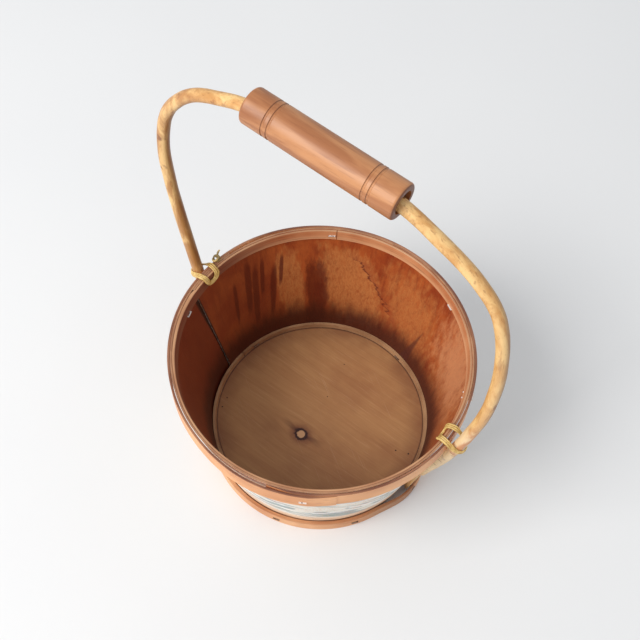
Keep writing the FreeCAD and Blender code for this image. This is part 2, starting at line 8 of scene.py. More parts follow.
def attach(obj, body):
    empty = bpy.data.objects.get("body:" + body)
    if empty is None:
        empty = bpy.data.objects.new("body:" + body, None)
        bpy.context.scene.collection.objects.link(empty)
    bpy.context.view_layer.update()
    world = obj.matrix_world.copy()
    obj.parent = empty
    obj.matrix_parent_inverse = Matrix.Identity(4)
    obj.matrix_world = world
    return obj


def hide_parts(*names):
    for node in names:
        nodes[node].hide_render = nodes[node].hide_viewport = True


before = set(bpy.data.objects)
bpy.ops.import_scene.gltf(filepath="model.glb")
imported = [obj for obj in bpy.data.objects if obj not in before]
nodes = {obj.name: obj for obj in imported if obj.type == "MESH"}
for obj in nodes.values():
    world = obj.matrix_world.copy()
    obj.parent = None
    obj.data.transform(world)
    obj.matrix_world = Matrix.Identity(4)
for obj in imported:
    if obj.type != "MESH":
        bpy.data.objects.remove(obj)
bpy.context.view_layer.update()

# ---------------------------------------------------------------- foot ring
# A thick strip of ash bent inside the foot of the wall. The bucket stands on its lower edge.
# It is left bare, and has gone grey-brown from use. Its ends butt together.


def colour(red, green, blue):
    """A paint-chart colour, 0 to 255, as the linear values a shader wants."""
    return tuple((c / 255 / 12.92 if c <= 10 else ((c / 255 + 0.055) / 1.055) ** 2.4)
                 for c in (red, green, blue)) + (1.0,)


def put(tree, kind, wires=None, **settings):
    """Add a shader node. wires gives each input a value or the output it is joined to."""
    made = tree.nodes.new("ShaderNode" + kind)
    for key, value in settings.items():
        setattr(made, key, value)
    for key, value in (wires or {}).items():
        if isinstance(value, bpy.types.NodeSocket):
            tree.links.new(value, made.inputs[key])
        else:
            made.inputs[key].default_value = value
    return made.outputs


def maths(tree, operation, first, second=0.0, third=0.0):
    return put(tree, "Math", {0: first, 1: second, 2: third}, operation=operation)[0]


def blend(tree, amount, painted_shade_side, over):
    """under where amount is 0, over where it is 1."""
    return put(tree, "Mix", {0: amount, 6: painted_shade_side, 7: over}, data_type="RGBA")[2]


def fade(tree, value, start, end):
    """0 at start, 1 at end, level at both."""
    return put(tree, "MapRange", {0: value, 1: start, 2: end, 3: 0.0, 4: 1.0},
               interpolation_type="SMOOTHSTEP")[0]


def cloud(tree, where, scale, detail=3.0, rough=0.55, distort=0.0):
    """Noise between 0 and 1 at a place."""
    return put(tree, "TexNoise", {"Vector": where, "Scale": scale, "Detail": detail,
                                  "Roughness": rough, "Distortion": distort})[0]


def stretched(tree, where, along_x, along_y, along_z):
    """A place with each of its axes scaled."""
    return put(tree, "VectorMath", {0: where, 1: (along_x, along_y, along_z)}, operation="MULTIPLY")[0]


def object_place(tree):
    return put(tree, "TexCoord")["Object"]


def new_group(name, inputs, outputs):
    """An empty shader node group with named inputs (name, kind, default) and outputs (name, kind)."""
    tree = bpy.data.node_groups.new(name, "ShaderNodeTree")
    for socket_name, kind, value in inputs:
        socket = tree.interface.new_socket(socket_name, in_out="INPUT", socket_type="NodeSocket" + kind)
        if value is not None:
            socket.default_value = value
    for socket_name, kind in outputs:
        tree.interface.new_socket(socket_name, in_out="OUTPUT", socket_type="NodeSocket" + kind)
    return tree, tree.nodes.new("NodeGroupInput").outputs, tree.nodes.new("NodeGroupOutput").inputs


def use_group(tree, group, wires):
    made = tree.nodes.new("ShaderNodeGroup")
    made.node_tree = group
    for key, value in wires.items():
        if isinstance(value, bpy.types.NodeSocket):
            tree.links.new(value, made.inputs[key])
        else:
            made.inputs[key].default_value = value
    return made.outputs


# where a point is round the bucket: degrees 0 to 360, distance from the axis, height
round_place, given, wanted = new_group("round_place", [], [("Angle", "Float"), ("Radius", "Float"),
                                                           ("Height", "Float"), ("Outward", "Float")])
x, y, z = put(round_place, "SeparateXYZ", {0: object_place(round_place)})
turn = maths(round_place, "MULTIPLY", maths(round_place, "ARCTAN2", y, x), 180 / math.pi)
round_place.links.new(maths(round_place, "MODULO", maths(round_place, "ADD", turn, 360.0), 360.0),
                      wanted["Angle"])
flat = put(round_place, "CombineXYZ", {0: x, 1: y})[0]
from_axis = put(round_place, "VectorMath", {0: flat}, operation="LENGTH")[1]
round_place.links.new(from_axis, wanted["Radius"])
round_place.links.new(z, wanted["Height"])
facing = put(round_place, "NewGeometry")["Normal"]
away = put(round_place, "VectorMath", {0: flat}, operation="NORMALIZE")[0]
round_place.links.new(put(round_place, "VectorMath", {0: facing, 1: away}, operation="DOT_PRODUCT")[1],
                      wanted["Outward"])

# grain that runs round a bent strip: fine lines stacked up the height and through the thickness
hoop_grain, given, wanted = new_group("hoop_grain", [("Fineness", "Float", 900.0)],
                                      [("Lines", "Float"), ("Tone", "Float")])
place = object_place(hoop_grain)
seat = use_group(hoop_grain, round_place, {})
through = maths(hoop_grain, "MULTIPLY", seat["Radius"], given["Fineness"])
up = maths(hoop_grain, "MULTIPLY", seat["Height"], given["Fineness"])
x, y, z = put(hoop_grain, "SeparateXYZ", {0: stretched(hoop_grain, place, 28, 28, 28)})
lines_at = put(hoop_grain, "CombineXYZ", {0: x, 1: y, 2: up})[0]
lines = put(hoop_grain, "TexNoise", {"Vector": lines_at, "W": through, "Scale": 1.0, "Detail": 4.0,
                                     "Roughness": 0.6}, noise_dimensions="4D")[0]
hoop_grain.links.new(lines, wanted["Lines"])
hoop_grain.links.new(cloud(hoop_grain, place, 24.0, 3.0), wanted["Tone"])


def new_material(name):
    """A material with its shader and an empty tree to build in."""
    material = bpy.data.materials.new(name)
    material.use_nodes = True
    tree = material.node_tree
    return material, tree, tree.nodes["Principled BSDF"]


def connect(tree, shader, **wires):
    """Join values to the shader's sockets, spaces in their names written as underscores."""
    for key, value in wires.items():
        socket = shader.inputs[key.replace("_", " ")]
        if isinstance(value, bpy.types.NodeSocket):
            tree.links.new(value, socket)
        else:
            socket.default_value = value


def relief(tree, height, strength, distance):
    return put(tree, "Bump", {"Height": height, "Strength": strength, "Distance": distance})[0]


def cover(piece, material):
    """Give a piece its one material."""
    piece.data.materials.clear()
    piece.data.materials.append(material)


def bent_wood(name, light, dark, rough, fineness=900.0):
    """Bare bent strip: grain lines, slow changes of tone, a little grime."""
    material, tree, shader = new_material(name)
    grain = use_group(tree, hoop_grain, {"Fineness": fineness})
    tone = fade(tree, grain["Tone"], 0.3, 0.72)
    body = blend(tree, tone, light, dark)
    lined = blend(tree, maths(tree, "MULTIPLY", fade(tree, grain["Lines"], 0.5, 0.7), 0.55), body, dark)
    connect(tree, shader, Base_Color=lined, Roughness=rough,
            Normal=relief(tree, grain["Lines"], 0.25, 0.0004))
    return material


cover(nodes["foot_ring"], bent_wood("bare_ring", colour(196, 158, 118), colour(150, 112, 76), 0.7))

# ---------------------------------------------------------------- wall
# One sheet of rotary-cut birch veneer bent into a cone and lapped. Inside it is stained red-brown and
# varnished; the varnish has worn through in patches and run in drips. Outside it was painted pale,
# with soft coloured streaks, over bare peach-coloured wood, and the paint has rubbed thin.
wall_base, wall_top, wall_height = 0.0781, 0.1015, 0.1175

# a soft-edged mark on the wall: centre and half size by angle and height, its outline ragged
wall_mark, given, wanted = new_group(
    "wall_mark", [("Angle", "Float", 0.0), ("Height", "Float", 0.0), ("Half Angle", "Float", 5.0),
                  ("Half Height", "Float", 0.01), ("Lean", "Float", 0.0), ("Ragged", "Float", 0.3),
                  ("Soft", "Float", 0.3)], [("Mark", "Float")])
seat = use_group(wall_mark, round_place, {})
rise = maths(wall_mark, "SUBTRACT", seat["Height"], given["Height"])
lean = maths(wall_mark, "MULTIPLY", rise, given["Lean"])
sideways = maths(wall_mark, "SUBTRACT", seat["Angle"], given["Angle"])
sideways = maths(wall_mark, "SUBTRACT", sideways, lean)
across = maths(wall_mark, "DIVIDE", maths(wall_mark, "ABSOLUTE", sideways), given["Half Angle"])
upward = maths(wall_mark, "DIVIDE", maths(wall_mark, "ABSOLUTE", rise), given["Half Height"])
furthest = maths(wall_mark, "ADD", maths(wall_mark, "POWER", across, 3.0),
                 maths(wall_mark, "POWER", upward, 3.0))
furthest = maths(wall_mark, "POWER", furthest, 1 / 3)
ragged = maths(wall_mark, "SUBTRACT", cloud(wall_mark, stretched(wall_mark, object_place(wall_mark),
                                                                  230, 230, 70), 1.0, 5.0, 0.62), 0.5)
spread = maths(wall_mark, "MULTIPLY_ADD", ragged, maths(wall_mark, "MULTIPLY", given["Ragged"], 4.0),
               furthest)
edge_in = maths(wall_mark, "SUBTRACT", 1.0, given["Soft"])
edge_out = maths(wall_mark, "ADD", 1.0, given["Soft"])
wall_mark.links.new(fade(wall_mark, spread, edge_out, edge_in), wanted["Mark"])


def mark(tree, angle, height, half_angle, half_height, lean=0.0, ragged=0.3, soft=0.3):
    return use_group(tree, wall_mark, {"Angle": angle, "Height": height, "Half Angle": half_angle,
                                       "Half Height": half_height, "Lean": lean, "Ragged": ragged,
                                       "Soft": soft})["Mark"]


wall_material, tree, shader = new_material("stained_wall")
place = object_place(tree)
seat = use_group(tree, round_place, {})
fibre = cloud(tree, stretched(tree, place, 950, 950, 26), 1.0, 4.0, 0.65)
streak = cloud(tree, stretched(tree, place, 190, 190, 9), 1.0, 4.0, 0.6)
blotch = cloud(tree, place, 42.0, 4.0, 0.6, 0.4)
fleck = cloud(tree, stretched(tree, place, 520, 520, 210), 1.0, 5.0, 0.75, 0.6)

stain = blend(tree, fade(tree, blotch, 0.32, 0.68), colour(184, 92, 42), colour(154, 64, 28))
stain = blend(tree, maths(tree, "MULTIPLY", fade(tree, streak, 0.45, 0.72), 0.6), stain,
              colour(122, 42, 22))
# painted shade on the left side of the inside
left_painted_shade = fade(tree, seat["Angle"], 144.0, 156.0)
stain = blend(tree, maths(tree, "MULTIPLY", left_painted_shade, 0.45), stain, colour(118, 46, 20))
# worn places, where the varnish has gone and the lighter wood shows through in flecks
worn = mark(tree, 142.0, 0.064, 6.0, 0.034, 40.0, 0.35, 0.25)
worn = maths(tree, "MAXIMUM", worn, mark(tree, 112.0, 0.062, 14.5, 0.037, 170.0, 0.28, 0.2))
worn = maths(tree, "MAXIMUM", worn, maths(tree, "MULTIPLY", 0.75,
                                          mark(tree, 78.0, 0.062, 15.0, 0.034, 150.0, 0.6, 0.5)))
worn = maths(tree, "MAXIMUM", worn, maths(tree, "MULTIPLY", 0.7,
                                          mark(tree, 33.0, 0.055, 22.0, 0.05, 0.0, 0.8, 0.6)))
faded_right = mark(tree, 40.0, 0.085, 17.0, 0.03, 0.0, 0.5, 0.6)
flecked = maths(tree, "MULTIPLY", worn, fade(tree, fleck, 0.3, 0.62))
inside = blend(tree, maths(tree, "MULTIPLY", worn, 0.58), stain, colour(180, 100, 46))
inside = blend(tree, maths(tree, "MULTIPLY", flecked, 0.5), inside, colour(212, 142, 78))
inside = blend(tree, maths(tree, "MULTIPLY", faded_right, 0.6), inside, colour(220, 152, 108))
# drips of stain and the dark tongue between the two worn places
drips = mark(tree, 129.5, 0.05, 5.2, 0.037, 0.0, 0.4, 0.25)
for angle, height, half_angle, half_height in ((163.0, 0.077, 1.7, 0.025), (160.0, 0.066, 1.7, 0.029),
                                               (151.0, 0.065, 1.5, 0.023), (171.0, 0.07, 1.0, 0.02),
                                               (155.5, 0.081, 1.1, 0.017), (146.0, 0.083, 0.9, 0.014)):
    drips = maths(tree, "MAXIMUM", drips, mark(tree, angle, height, half_angle, half_height, -70.0,
                                               0.2, 0.25))
inside = blend(tree, maths(tree, "MULTIPLY", drips, 0.8), inside, colour(96, 26, 10))
# painted shade on the wall left of the lap
left_sheet_shade = maths(tree, "MULTIPLY", fade(tree, seat["Angle"], 186.0, 190.0),
                   fade(tree, seat["Angle"], 300.0, 240.0))
inside = blend(tree, maths(tree, "MULTIPLY", left_sheet_shade, 0.72), inside, colour(118, 42, 22))
low_right = maths(tree, "MULTIPLY", fade(tree, seat["Angle"], 62.0, 30.0),
                  fade(tree, maths(tree, "MULTIPLY_ADD", streak, 0.05, seat["Height"]), 0.1, 0.058))
inside = blend(tree, maths(tree, "MULTIPLY", low_right, 0.86), inside, colour(120, 54, 30))
# darker towards the board: partly stain, partly painted shade
low_shade_and_stain = fade(tree, maths(tree, "ADD", seat["Height"], maths(tree, "MULTIPLY", streak, 0.02)),
                0.062, 0.037)
inside = blend(tree, maths(tree, "MULTIPLY", low_shade_and_stain, 0.93), inside, colour(70, 20, 8))
# crack in the face of the veneer and the pointed water stains that rise from the board
wander = maths(tree, "SUBTRACT", cloud(tree, stretched(tree, place, 20, 20, 260), 1.0, 5.0, 0.62), 0.5)
crack_line = maths(tree, "MULTIPLY_ADD", maths(tree, "SUBTRACT", seat["Height"], 0.0735), -520.0,
                   maths(tree, "SUBTRACT", seat["Angle"], 102.5))
crack_line = maths(tree, "ADD", crack_line, maths(tree, "MULTIPLY", wander, 13.0))
crack = maths(tree, "MULTIPLY", fade(tree, maths(tree, "ABSOLUTE", crack_line), 0.8, 0.25),
              mark(tree, 101.0, 0.071, 16.0, 0.022, 0.0, 0.1, 0.12))
beside_crack = maths(tree, "MULTIPLY", fade(tree, crack_line, -7.0, -0.5),
                     fade(tree, crack_line, 0.6, 0.0))
beside_crack = maths(tree, "MULTIPLY", beside_crack,
                     mark(tree, 101.0, 0.066, 20.0, 0.028, 0.0, 0.2, 0.2))
inside = blend(tree, maths(tree, "MULTIPLY", beside_crack, 0.5), inside, colour(150, 62, 30))
inside = blend(tree, maths(tree, "MULTIPLY", crack, 0.8), inside, colour(98, 34, 20))


def spike(angle, foot, top, width, lean):
    """A stain that narrows to a point as it rises from the board."""
    share = maths(tree, "DIVIDE", maths(tree, "SUBTRACT", seat["Height"], foot), top - foot)
    line = maths(tree, "SUBTRACT", maths(tree, "SUBTRACT", seat["Angle"], angle),
                 maths(tree, "MULTIPLY", share, lean))
    room = maths(tree, "MULTIPLY", maths(tree, "SUBTRACT", 1.0, share), width)
    inner = maths(tree, "SUBTRACT", room, maths(tree, "ABSOLUTE", line))
    return maths(tree, "MULTIPLY", fade(tree, inner, -0.5, 0.9), fade(tree, share, 1.05, 0.9))


spikes = maths(tree, "MAXIMUM", spike(75.5, 0.012, 0.064, 3.4, -7.0),
               spike(60.5, 0.012, 0.033, 2.2, -4.0))
inside = blend(tree, maths(tree, "MULTIPLY", spikes, 0.7), inside, colour(78, 28, 24))
inside = blend(tree, maths(tree, "MULTIPLY", fade(tree, fibre, 0.52, 0.75), 0.3), inside,
               colour(86, 34, 18))

# painted shade in the step where the sheet laps over itself, widest at the top
seam = maths(tree, "MULTIPLY_ADD", seat["Height"], 3.9 / wall_height, 185.6)
from_seam = maths(tree, "SUBTRACT", seat["Angle"], seam)
step_wide = maths(tree, "MULTIPLY_ADD", fade(tree, seat["Height"], 0.04, 0.112), 1.7, 0.8)
step_shade = maths(tree, "MULTIPLY", fade(tree, from_seam, -0.5, -0.15),
                  fade(tree, from_seam, step_wide, maths(tree, "MULTIPLY", step_wide, 0.5)))
inside = blend(tree, maths(tree, "MULTIPLY", step_shade, 0.9), inside, colour(38, 14, 10))
# painted outside: bare margins, pale ground, loose streaks of three faded colours
bare = blend(tree, fade(tree, blotch, 0.35, 0.7), colour(246, 214, 184), colour(228, 188, 154))
bare = blend(tree, maths(tree, "MULTIPLY", fade(tree, fibre, 0.5, 0.75), 0.35), bare,
             colour(188, 138, 100))
tilted = put(tree, "VectorRotate", {0: place, 3: 0.35}, rotation_type="X_AXIS")[0]
bristle = cloud(tree, stretched(tree, tilted, 40, 40, 900), 1.0, 3.0, 0.6, 0.3)
brushed = maths(tree, "MULTIPLY", maths(tree, "SUBTRACT", bristle, 0.5), 0.16)
paint = colour(234, 230, 220)
# grey-blue, pink, green, then white dabs over all: direction, spread, waviness, edge, cover, colour
for where, spread_by, wavy, starts, ends, covers, layer in (
        (tilted, (20, 20, 95), 1.4, 0.44, 0.6, 0.85, colour(134, 156, 162)),
        (place, (26, 30, 120), 1.0, 0.56, 0.68, 0.6, colour(206, 152, 136)),
        (place, (-24, 28, 110), 1.0, 0.58, 0.7, 0.55, colour(132, 148, 122)),
        (tilted, (32, -32, 210), 1.2, 0.56, 0.64, 0.9, colour(250, 250, 247))):
    wash = maths(tree, "ADD", cloud(tree, stretched(tree, where, *spread_by), 1.0, 2.0, 0.5, wavy),
                 brushed)
    paint = blend(tree, maths(tree, "MULTIPLY", fade(tree, wash, starts, ends), covers), paint, layer)
band = maths(tree, "MULTIPLY", fade(tree, seat["Height"], 0.018, 0.028),
             fade(tree, seat["Height"], 0.098, 0.086))
rubbed = fade(tree, maths(tree, "ADD", maths(tree, "MULTIPLY", fibre, 0.8),
                          maths(tree, "MULTIPLY", blotch, 0.5)), 0.62, 0.85)
painted = maths(tree, "MULTIPLY", band,
                maths(tree, "SUBTRACT", 0.96, maths(tree, "MULTIPLY", rubbed, 0.4)))
outside = blend(tree, painted, bare, paint)

is_outside = fade(tree, seat["Outward"], -0.05, 0.05)
both = blend(tree, is_outside, inside, outside)
is_edge = fade(tree, put(tree, "SeparateXYZ", {0: put(tree, "NewGeometry")["Normal"]})[2], 0.5, 0.8)
both = blend(tree, is_edge, both, blend(tree, fade(tree, blotch, 0.35, 0.65), colour(184, 136, 100),
                                        colour(152, 104, 74)))
shine = maths(tree, "ADD", 0.42, maths(tree, "MULTIPLY", worn, 0.22))
shine = maths(tree, "ADD", shine, maths(tree, "MULTIPLY", is_outside, 0.2))
connect(tree, shader, Base_Color=both, Roughness=shine,
        Normal=relief(tree, maths(tree, "ADD", fibre, maths(tree, "MULTIPLY", streak, 0.8)), 0.35,
                      0.0005))
cover(nodes["wall"], wall_material)

# ---------------------------------------------------------------- base hoop
# Outer strip at the foot, put on over the wall and the feet of the bow, lapped and stapled.
# Bare birch, gone orange, with its upper edge grimy.
base_hoop_material, tree, shader = new_material("base_hoop_wood")
grain = use_group(tree, hoop_grain, {"Fineness": 750.0})
seat = use_group(tree, round_place, {})
body = blend(tree, fade(tree, grain["Tone"], 0.3, 0.7), colour(236, 180, 132), colour(206, 142, 96))
body = blend(tree, maths(tree, "MULTIPLY", fade(tree, grain["Lines"], 0.52, 0.7), 0.5), body,
             colour(160, 96, 60))
grimy = maths(tree, "MULTIPLY", fade(tree, seat["Height"], 0.0088, 0.01), 0.4)
body = blend(tree, grimy, body, colour(120, 68, 42))
over_foot = fade(tree, seat["Angle"], 322.0, 348.0)
body = blend(tree, maths(tree, "MULTIPLY", over_foot, 0.65), body, colour(142, 92, 62))
connect(tree, shader, Base_Color=body, Roughness=0.55,
        Normal=relief(tree, grain["Lines"], 0.3, 0.0004))


def ease(share):
    share = min(1.0, max(0.0, share))
    return share * share * (3 - 2 * share)


def around(angle, low, high, soft):
    """1 between two angles, easing to 0 over soft degrees on each side."""
    off = abs((angle - (low + high) / 2 + 180) % 360 - 180) - (high - low) / 2
    return 1 - ease(off / soft)


def sheet_lap(angle):
    """How far the lapped end of the wall pushes a hoop out, in metres."""
    return 0.00135 * around(angle, 163.6, 189.5, 48.0)


def over_lap(angle, seam, lap, rise):
    """How far the covering end of a hoop stands out over its own inner end."""
    before = (seam - angle) % 360
    return 0.0 if before > lap + 35.0 else rise * ease((lap + 35.0 - before) / 35.0)


def strip(name, start, end, low, high, face, thickness, taper):
    """A bent strip with softened edges. face gives its outer radius by angle and height, thickness
    its thickness by angle. Both its ends are pared down from outside over taper degrees."""
    step_angle, soft, waviness = 1.25, 0.0003, 0.00018
    mesh = bmesh.new()
    count = int((end - start) / step_angle)
    rings = []
    for index in range(count + 1):
        angle = start + (end - start) * index / count
        turn = math.radians(angle)
        thick = thickness(angle)
        wave = noise.noise(Vector((math.cos(turn) * 4, math.sin(turn) * 4, low * 90 + end)))
        first = max(0.0, 1 - (angle - start) / taper) if taper else 0.0
        last = max(0.0, 1 - (end - angle) / taper) if taper else 0.0
        ring = []
        for inward, height in ((0, 1), (0, 0), (soft, -1), (thick - soft, -1), (thick, 0), (thick, 1),
                               (thick - soft, 2), (soft, 2)):
            z = {-1: low, 0: low + soft, 1: high - soft, 2: high}[height]
            z += wave * waviness * (height > 0)
            pared = 0.75 * (thick - inward) * max(first, last)
            radius = face(angle, z) - inward - pared
            ring.append(mesh.verts.new((radius * math.cos(turn), radius * math.sin(turn), z)))
        rings.append(ring)
    for ring, following in zip(rings, rings[1:]):
        for side in range(8):
            mesh.faces.new((ring[side], ring[(side + 1) % 8],
                            following[(side + 1) % 8], following[side]))
    mesh.faces.new(rings[0][::-1])
    mesh.faces.new(rings[-1])
    bmesh.ops.recalc_face_normals(mesh, faces=mesh.faces)
    data = bpy.data.meshes.new(name)
    mesh.to_mesh(data)
    mesh.free()
    made = bpy.data.objects.new(name, data)
    bpy.context.scene.collection.objects.link(made)
    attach(made, "bucket")
    return made


def over_feet(angle):
    """1 over the two feet of the bow, 0 away from them."""
    return around(angle, -3, 3, 20.0) + around(angle, 177, 183, 20.0)


def base_hoop_face(angle, z):
    """Out over the feet of the bow, the lap of the wall and the hoop's own lap."""
    bare_radius, foot_bulge = 0.08327, 0.00365
    half_over = over_lap(angle, 225.0, 22.0, 0.00185) if angle > 405 else 0.0
    return bare_radius + foot_bulge * over_feet(angle) + sheet_lap(angle) + half_over


def base_hoop_thickness(angle):
    """Thinner where it goes over the feet."""
    return 0.0027 - 0.001 * over_feet(angle)


base_hoop = strip("base_hoop_strip", 203.0, 585.0, 0.0, 0.01, base_hoop_face,
                  base_hoop_thickness, 9.0)
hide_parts("base_hoop")
cover(base_hoop, base_hoop_material)

# ---------------------------------------------------------------- bottom board
# Round birch plywood board dropped in on the foot ring. One knot shows, tan in the middle and
# nearly black round it, with dark wisps running off along the grain; pale scratches, small specks.
board_material, tree, shader = new_material("board_face")
place = object_place(tree)
seat = use_group(tree, round_place, {})
knot_place = put(tree, "VectorMath", {0: place, 1: (-0.0023, -0.0205, 0.016)}, operation="SUBTRACT")[0]
knot_x, knot_y = put(tree, "SeparateXYZ", {0: knot_place})[:2]
near = put(tree, "VectorMath", {0: stretched(tree, knot_place, 55, 75, 0)}, operation="LENGTH")[1]
# the grain bends round the knot
push = maths(tree, "DIVIDE", 0.006, maths(tree, "ADD", 1.0, maths(tree, "MULTIPLY", near, near)))
side = put(tree, "Math", {0: knot_y}, operation="SIGN")[0]
bent = put(tree, "CombineXYZ", {1: maths(tree, "MULTIPLY", push, side)})[0]
flow = put(tree, "VectorMath", {0: place, 1: bent}, operation="SUBTRACT")[0]
fine = cloud(tree, stretched(tree, flow, 34, 900, 60), 1.0, 4.0, 0.65)
broad = cloud(tree, stretched(tree, flow, 9, 120, 20), 1.0, 4.0, 0.6, 0.8)
mottle = cloud(tree, place, 30.0, 3.0)
body = blend(tree, fade(tree, broad, 0.25, 0.78), colour(192, 144, 94), colour(176, 126, 80))
body = blend(tree, maths(tree, "MULTIPLY", fade(tree, mottle, 0.42, 0.75), 0.4), body,
             colour(150, 96, 60))
body = blend(tree, maths(tree, "MULTIPLY", fade(tree, fine, 0.5, 0.74), 0.2), body,
             colour(136, 90, 54))
body = blend(tree, maths(tree, "MULTIPLY", fade(tree, fine, 0.46, 0.3), 0.2), body,
             colour(222, 182, 136))
ring_out = put(tree, "VectorMath", {0: stretched(tree, knot_place, 1, 1.15, 0)}, operation="LENGTH")[1]
wobble = maths(tree, "MULTIPLY", maths(tree, "SUBTRACT", cloud(tree, place, 420.0, 3.0), 0.5), 0.0035)
ring_out = maths(tree, "ADD", ring_out, wobble)
halo = fade(tree, ring_out, 0.0125, 0.004)
body = blend(tree, maths(tree, "MULTIPLY", halo, 0.7), body, colour(112, 54, 38))
wisp_width = maths(tree, "MULTIPLY", maths(tree, "ABSOLUTE", knot_x), 0.12)
wisp_edge = maths(tree, "SUBTRACT", maths(tree, "ABSOLUTE", maths(
    tree, "MULTIPLY_ADD", maths(tree, "ABSOLUTE", knot_x), -0.12, knot_y)), wisp_width)
wisp = maths(tree, "MULTIPLY", fade(tree, wisp_edge, 0.0016, -0.0004),
             fade(tree, maths(tree, "ABSOLUTE", knot_x), 0.021, 0.004))
body = blend(tree, maths(tree, "MULTIPLY", wisp, 0.6), body, colour(88, 46, 32))
body = blend(tree, fade(tree, ring_out, 0.0062, 0.0046), body, colour(58, 24, 20))
body = blend(tree, fade(tree, ring_out, 0.0036, 0.0029), body, colour(214, 168, 124))
edge_dirt = maths(tree, "MULTIPLY", fade(tree, seat["Radius"], 0.062, 0.079),
                  fade(tree, mottle, 0.2, 0.6))
body = blend(tree, maths(tree, "MULTIPLY", edge_dirt, 0.6), body, colour(120, 68, 44))
body = blend(tree, maths(tree, "MULTIPLY", fade(tree, seat["Radius"], 0.0765, 0.0778), 0.75), body,
             colour(62, 34, 24))
scratch_at = put(tree, "VectorMath", {0: place, 1: (0.0, 0.0, 0.9)}, operation="ADD")[0]
slanted = put(tree, "VectorRotate", {0: scratch_at, 3: 0.55}, rotation_type="Z_AXIS")[0]
scratch = cloud(tree, stretched(tree, slanted, 16, 1400, 1), 1.0, 2.0)
scratched = maths(tree, "MULTIPLY", fade(tree, scratch, 0.67, 0.74), fade(tree, mottle, 0.4, 0.55))
body = blend(tree, maths(tree, "MULTIPLY", scratched, 0.35), body, colour(216, 182, 146))
for speck_x, speck_y, speck_size in ((0.0615, 0.012, 0.0007), (0.0705, 0.0155, 0.0008),
                                     (-0.0055, 0.0165, 0.0005), (-0.0635, -0.039, 0.0007),
                                     (-0.012, 0.047, 0.0005), (-0.0655, -0.031, 0.0006)):
    off = put(tree, "VectorMath", {0: place, 1: (speck_x, speck_y, 0.016)}, operation="DISTANCE")[1]
    body = blend(tree, fade(tree, off, speck_size, speck_size * 0.6), body, colour(40, 22, 18))
connect(tree, shader, Base_Color=body, Roughness=0.6, Normal=relief(tree, fine, 0.2, 0.0004))
cover(nodes["bottom_board"], board_material)

# ---------------------------------------------------------------- top ring
# Thin strip sprung in on top of the board, its ends nearly meeting, and stapled to the wall.
# It holds the board down. Bare wood, gone grey-brown.
cover(nodes["top_ring"], bent_wood("top_ring_wood", colour(200, 156, 114), colour(148, 104, 70), 0.65,
                                   1300.0))

# ---------------------------------------------------------------- rim lining
# Flat strip sprung against the inside of the wall at the rim. Its inner face took the same stain as
# the wall; its top edge is bare tan wood.
lining_material, tree, shader = new_material("lining_wood")
grain = use_group(tree, hoop_grain, {"Fineness": 900.0})
seat = use_group(tree, round_place, {})
faces_up = put(tree, "SeparateXYZ", {0: put(tree, "NewGeometry")["Normal"]})[2]
faced = blend(tree, fade(tree, grain["Tone"], 0.35, 0.7), colour(216, 148, 102),
              colour(188, 112, 70))
# painted highlight: the inner face is lightened towards its lower edge
faced = blend(tree, maths(tree, "MULTIPLY", fade(tree, seat["Height"], 0.1145, 0.1105), 0.55), faced,
              colour(230, 176, 132))
faced = blend(tree, maths(tree, "MULTIPLY", fade(tree, grain["Lines"], 0.5, 0.7), 0.45), faced,
              colour(110, 50, 32))
shadowed = maths(tree, "MULTIPLY", fade(tree, seat["Angle"], 135.0, 175.0), 0.82)
faced = blend(tree, shadowed, faced, colour(112, 54, 40))
top = blend(tree, fade(tree, grain["Tone"], 0.35, 0.7), colour(200, 152, 112), colour(172, 120, 84))
top = blend(tree, maths(tree, "MULTIPLY", fade(tree, grain["Lines"], 0.52, 0.7), 0.4), top,
            colour(150, 92, 62))
body = blend(tree, fade(tree, faces_up, 0.4, 0.8), faced, top)
connect(tree, shader, Base_Color=body, Roughness=0.5,
        Normal=relief(tree, grain["Lines"], 0.25, 0.0004))


def past_lap(angle):
    """How far the wall stands away from the lining in the step past its lap."""
    return sheet_lap(angle) * ease((angle - 189.2) / 1.6) if 189.2 < angle < 260 else 0.0


def lining_face(angle, z):
    return wall_base + (wall_top - wall_base) * z / wall_height - 0.00125 + past_lap(angle)


lining = strip("rim_lining_strip", 121.3, 481.0, 0.1095, 0.1174, lining_face,
               lambda angle: 0.0015 + 0.8 * past_lap(angle), 0.0)
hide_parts("rim_lining")
cover(lining, lining_material)

# ---------------------------------------------------------------- rim hoop
# Outer strip at the rim, lapped and stapled. Bare birch gone orange outside; its top edge has been
# handled for years and is dull purple-brown.
rim_hoop_material, tree, shader = new_material("rim_hoop_wood")
grain = use_group(tree, hoop_grain, {"Fineness": 750.0})
faces_up = put(tree, "SeparateXYZ", {0: put(tree, "NewGeometry")["Normal"]})[2]
face = blend(tree, fade(tree, grain["Tone"], 0.3, 0.7), colour(240, 178, 124), colour(214, 146, 96))
face = blend(tree, maths(tree, "MULTIPLY", fade(tree, grain["Lines"], 0.52, 0.72), 0.5), face,
             colour(150, 84, 52))
top = blend(tree, fade(tree, grain["Tone"], 0.35, 0.65), colour(164, 112, 82), colour(118, 70, 50))
top = blend(tree, maths(tree, "MULTIPLY", fade(tree, grain["Lines"], 0.5, 0.68), 0.6), top,
            colour(78, 42, 34))
body = blend(tree, fade(tree, faces_up, 0.4, 0.8), face, top)
connect(tree, shader, Base_Color=body, Roughness=0.5,
        Normal=relief(tree, grain["Lines"], 0.35, 0.0005))


def rim_hoop_face(angle, z):
    """Out over the lap of the wall and the hoop's own lap."""
    bare_radius = 0.1034
    half_over = over_lap(angle, 312.0, 25.0, 0.00175) if angle > 492 else 0.0
    return bare_radius + sheet_lap(angle) + half_over


rim_hoop = strip("rim_hoop_strip", 287.0, 672.0, 0.1035, 0.1175, rim_hoop_face,
                 lambda angle: 0.0016, 10.0)
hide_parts("rim_hoop")
cover(rim_hoop, rim_hoop_material)

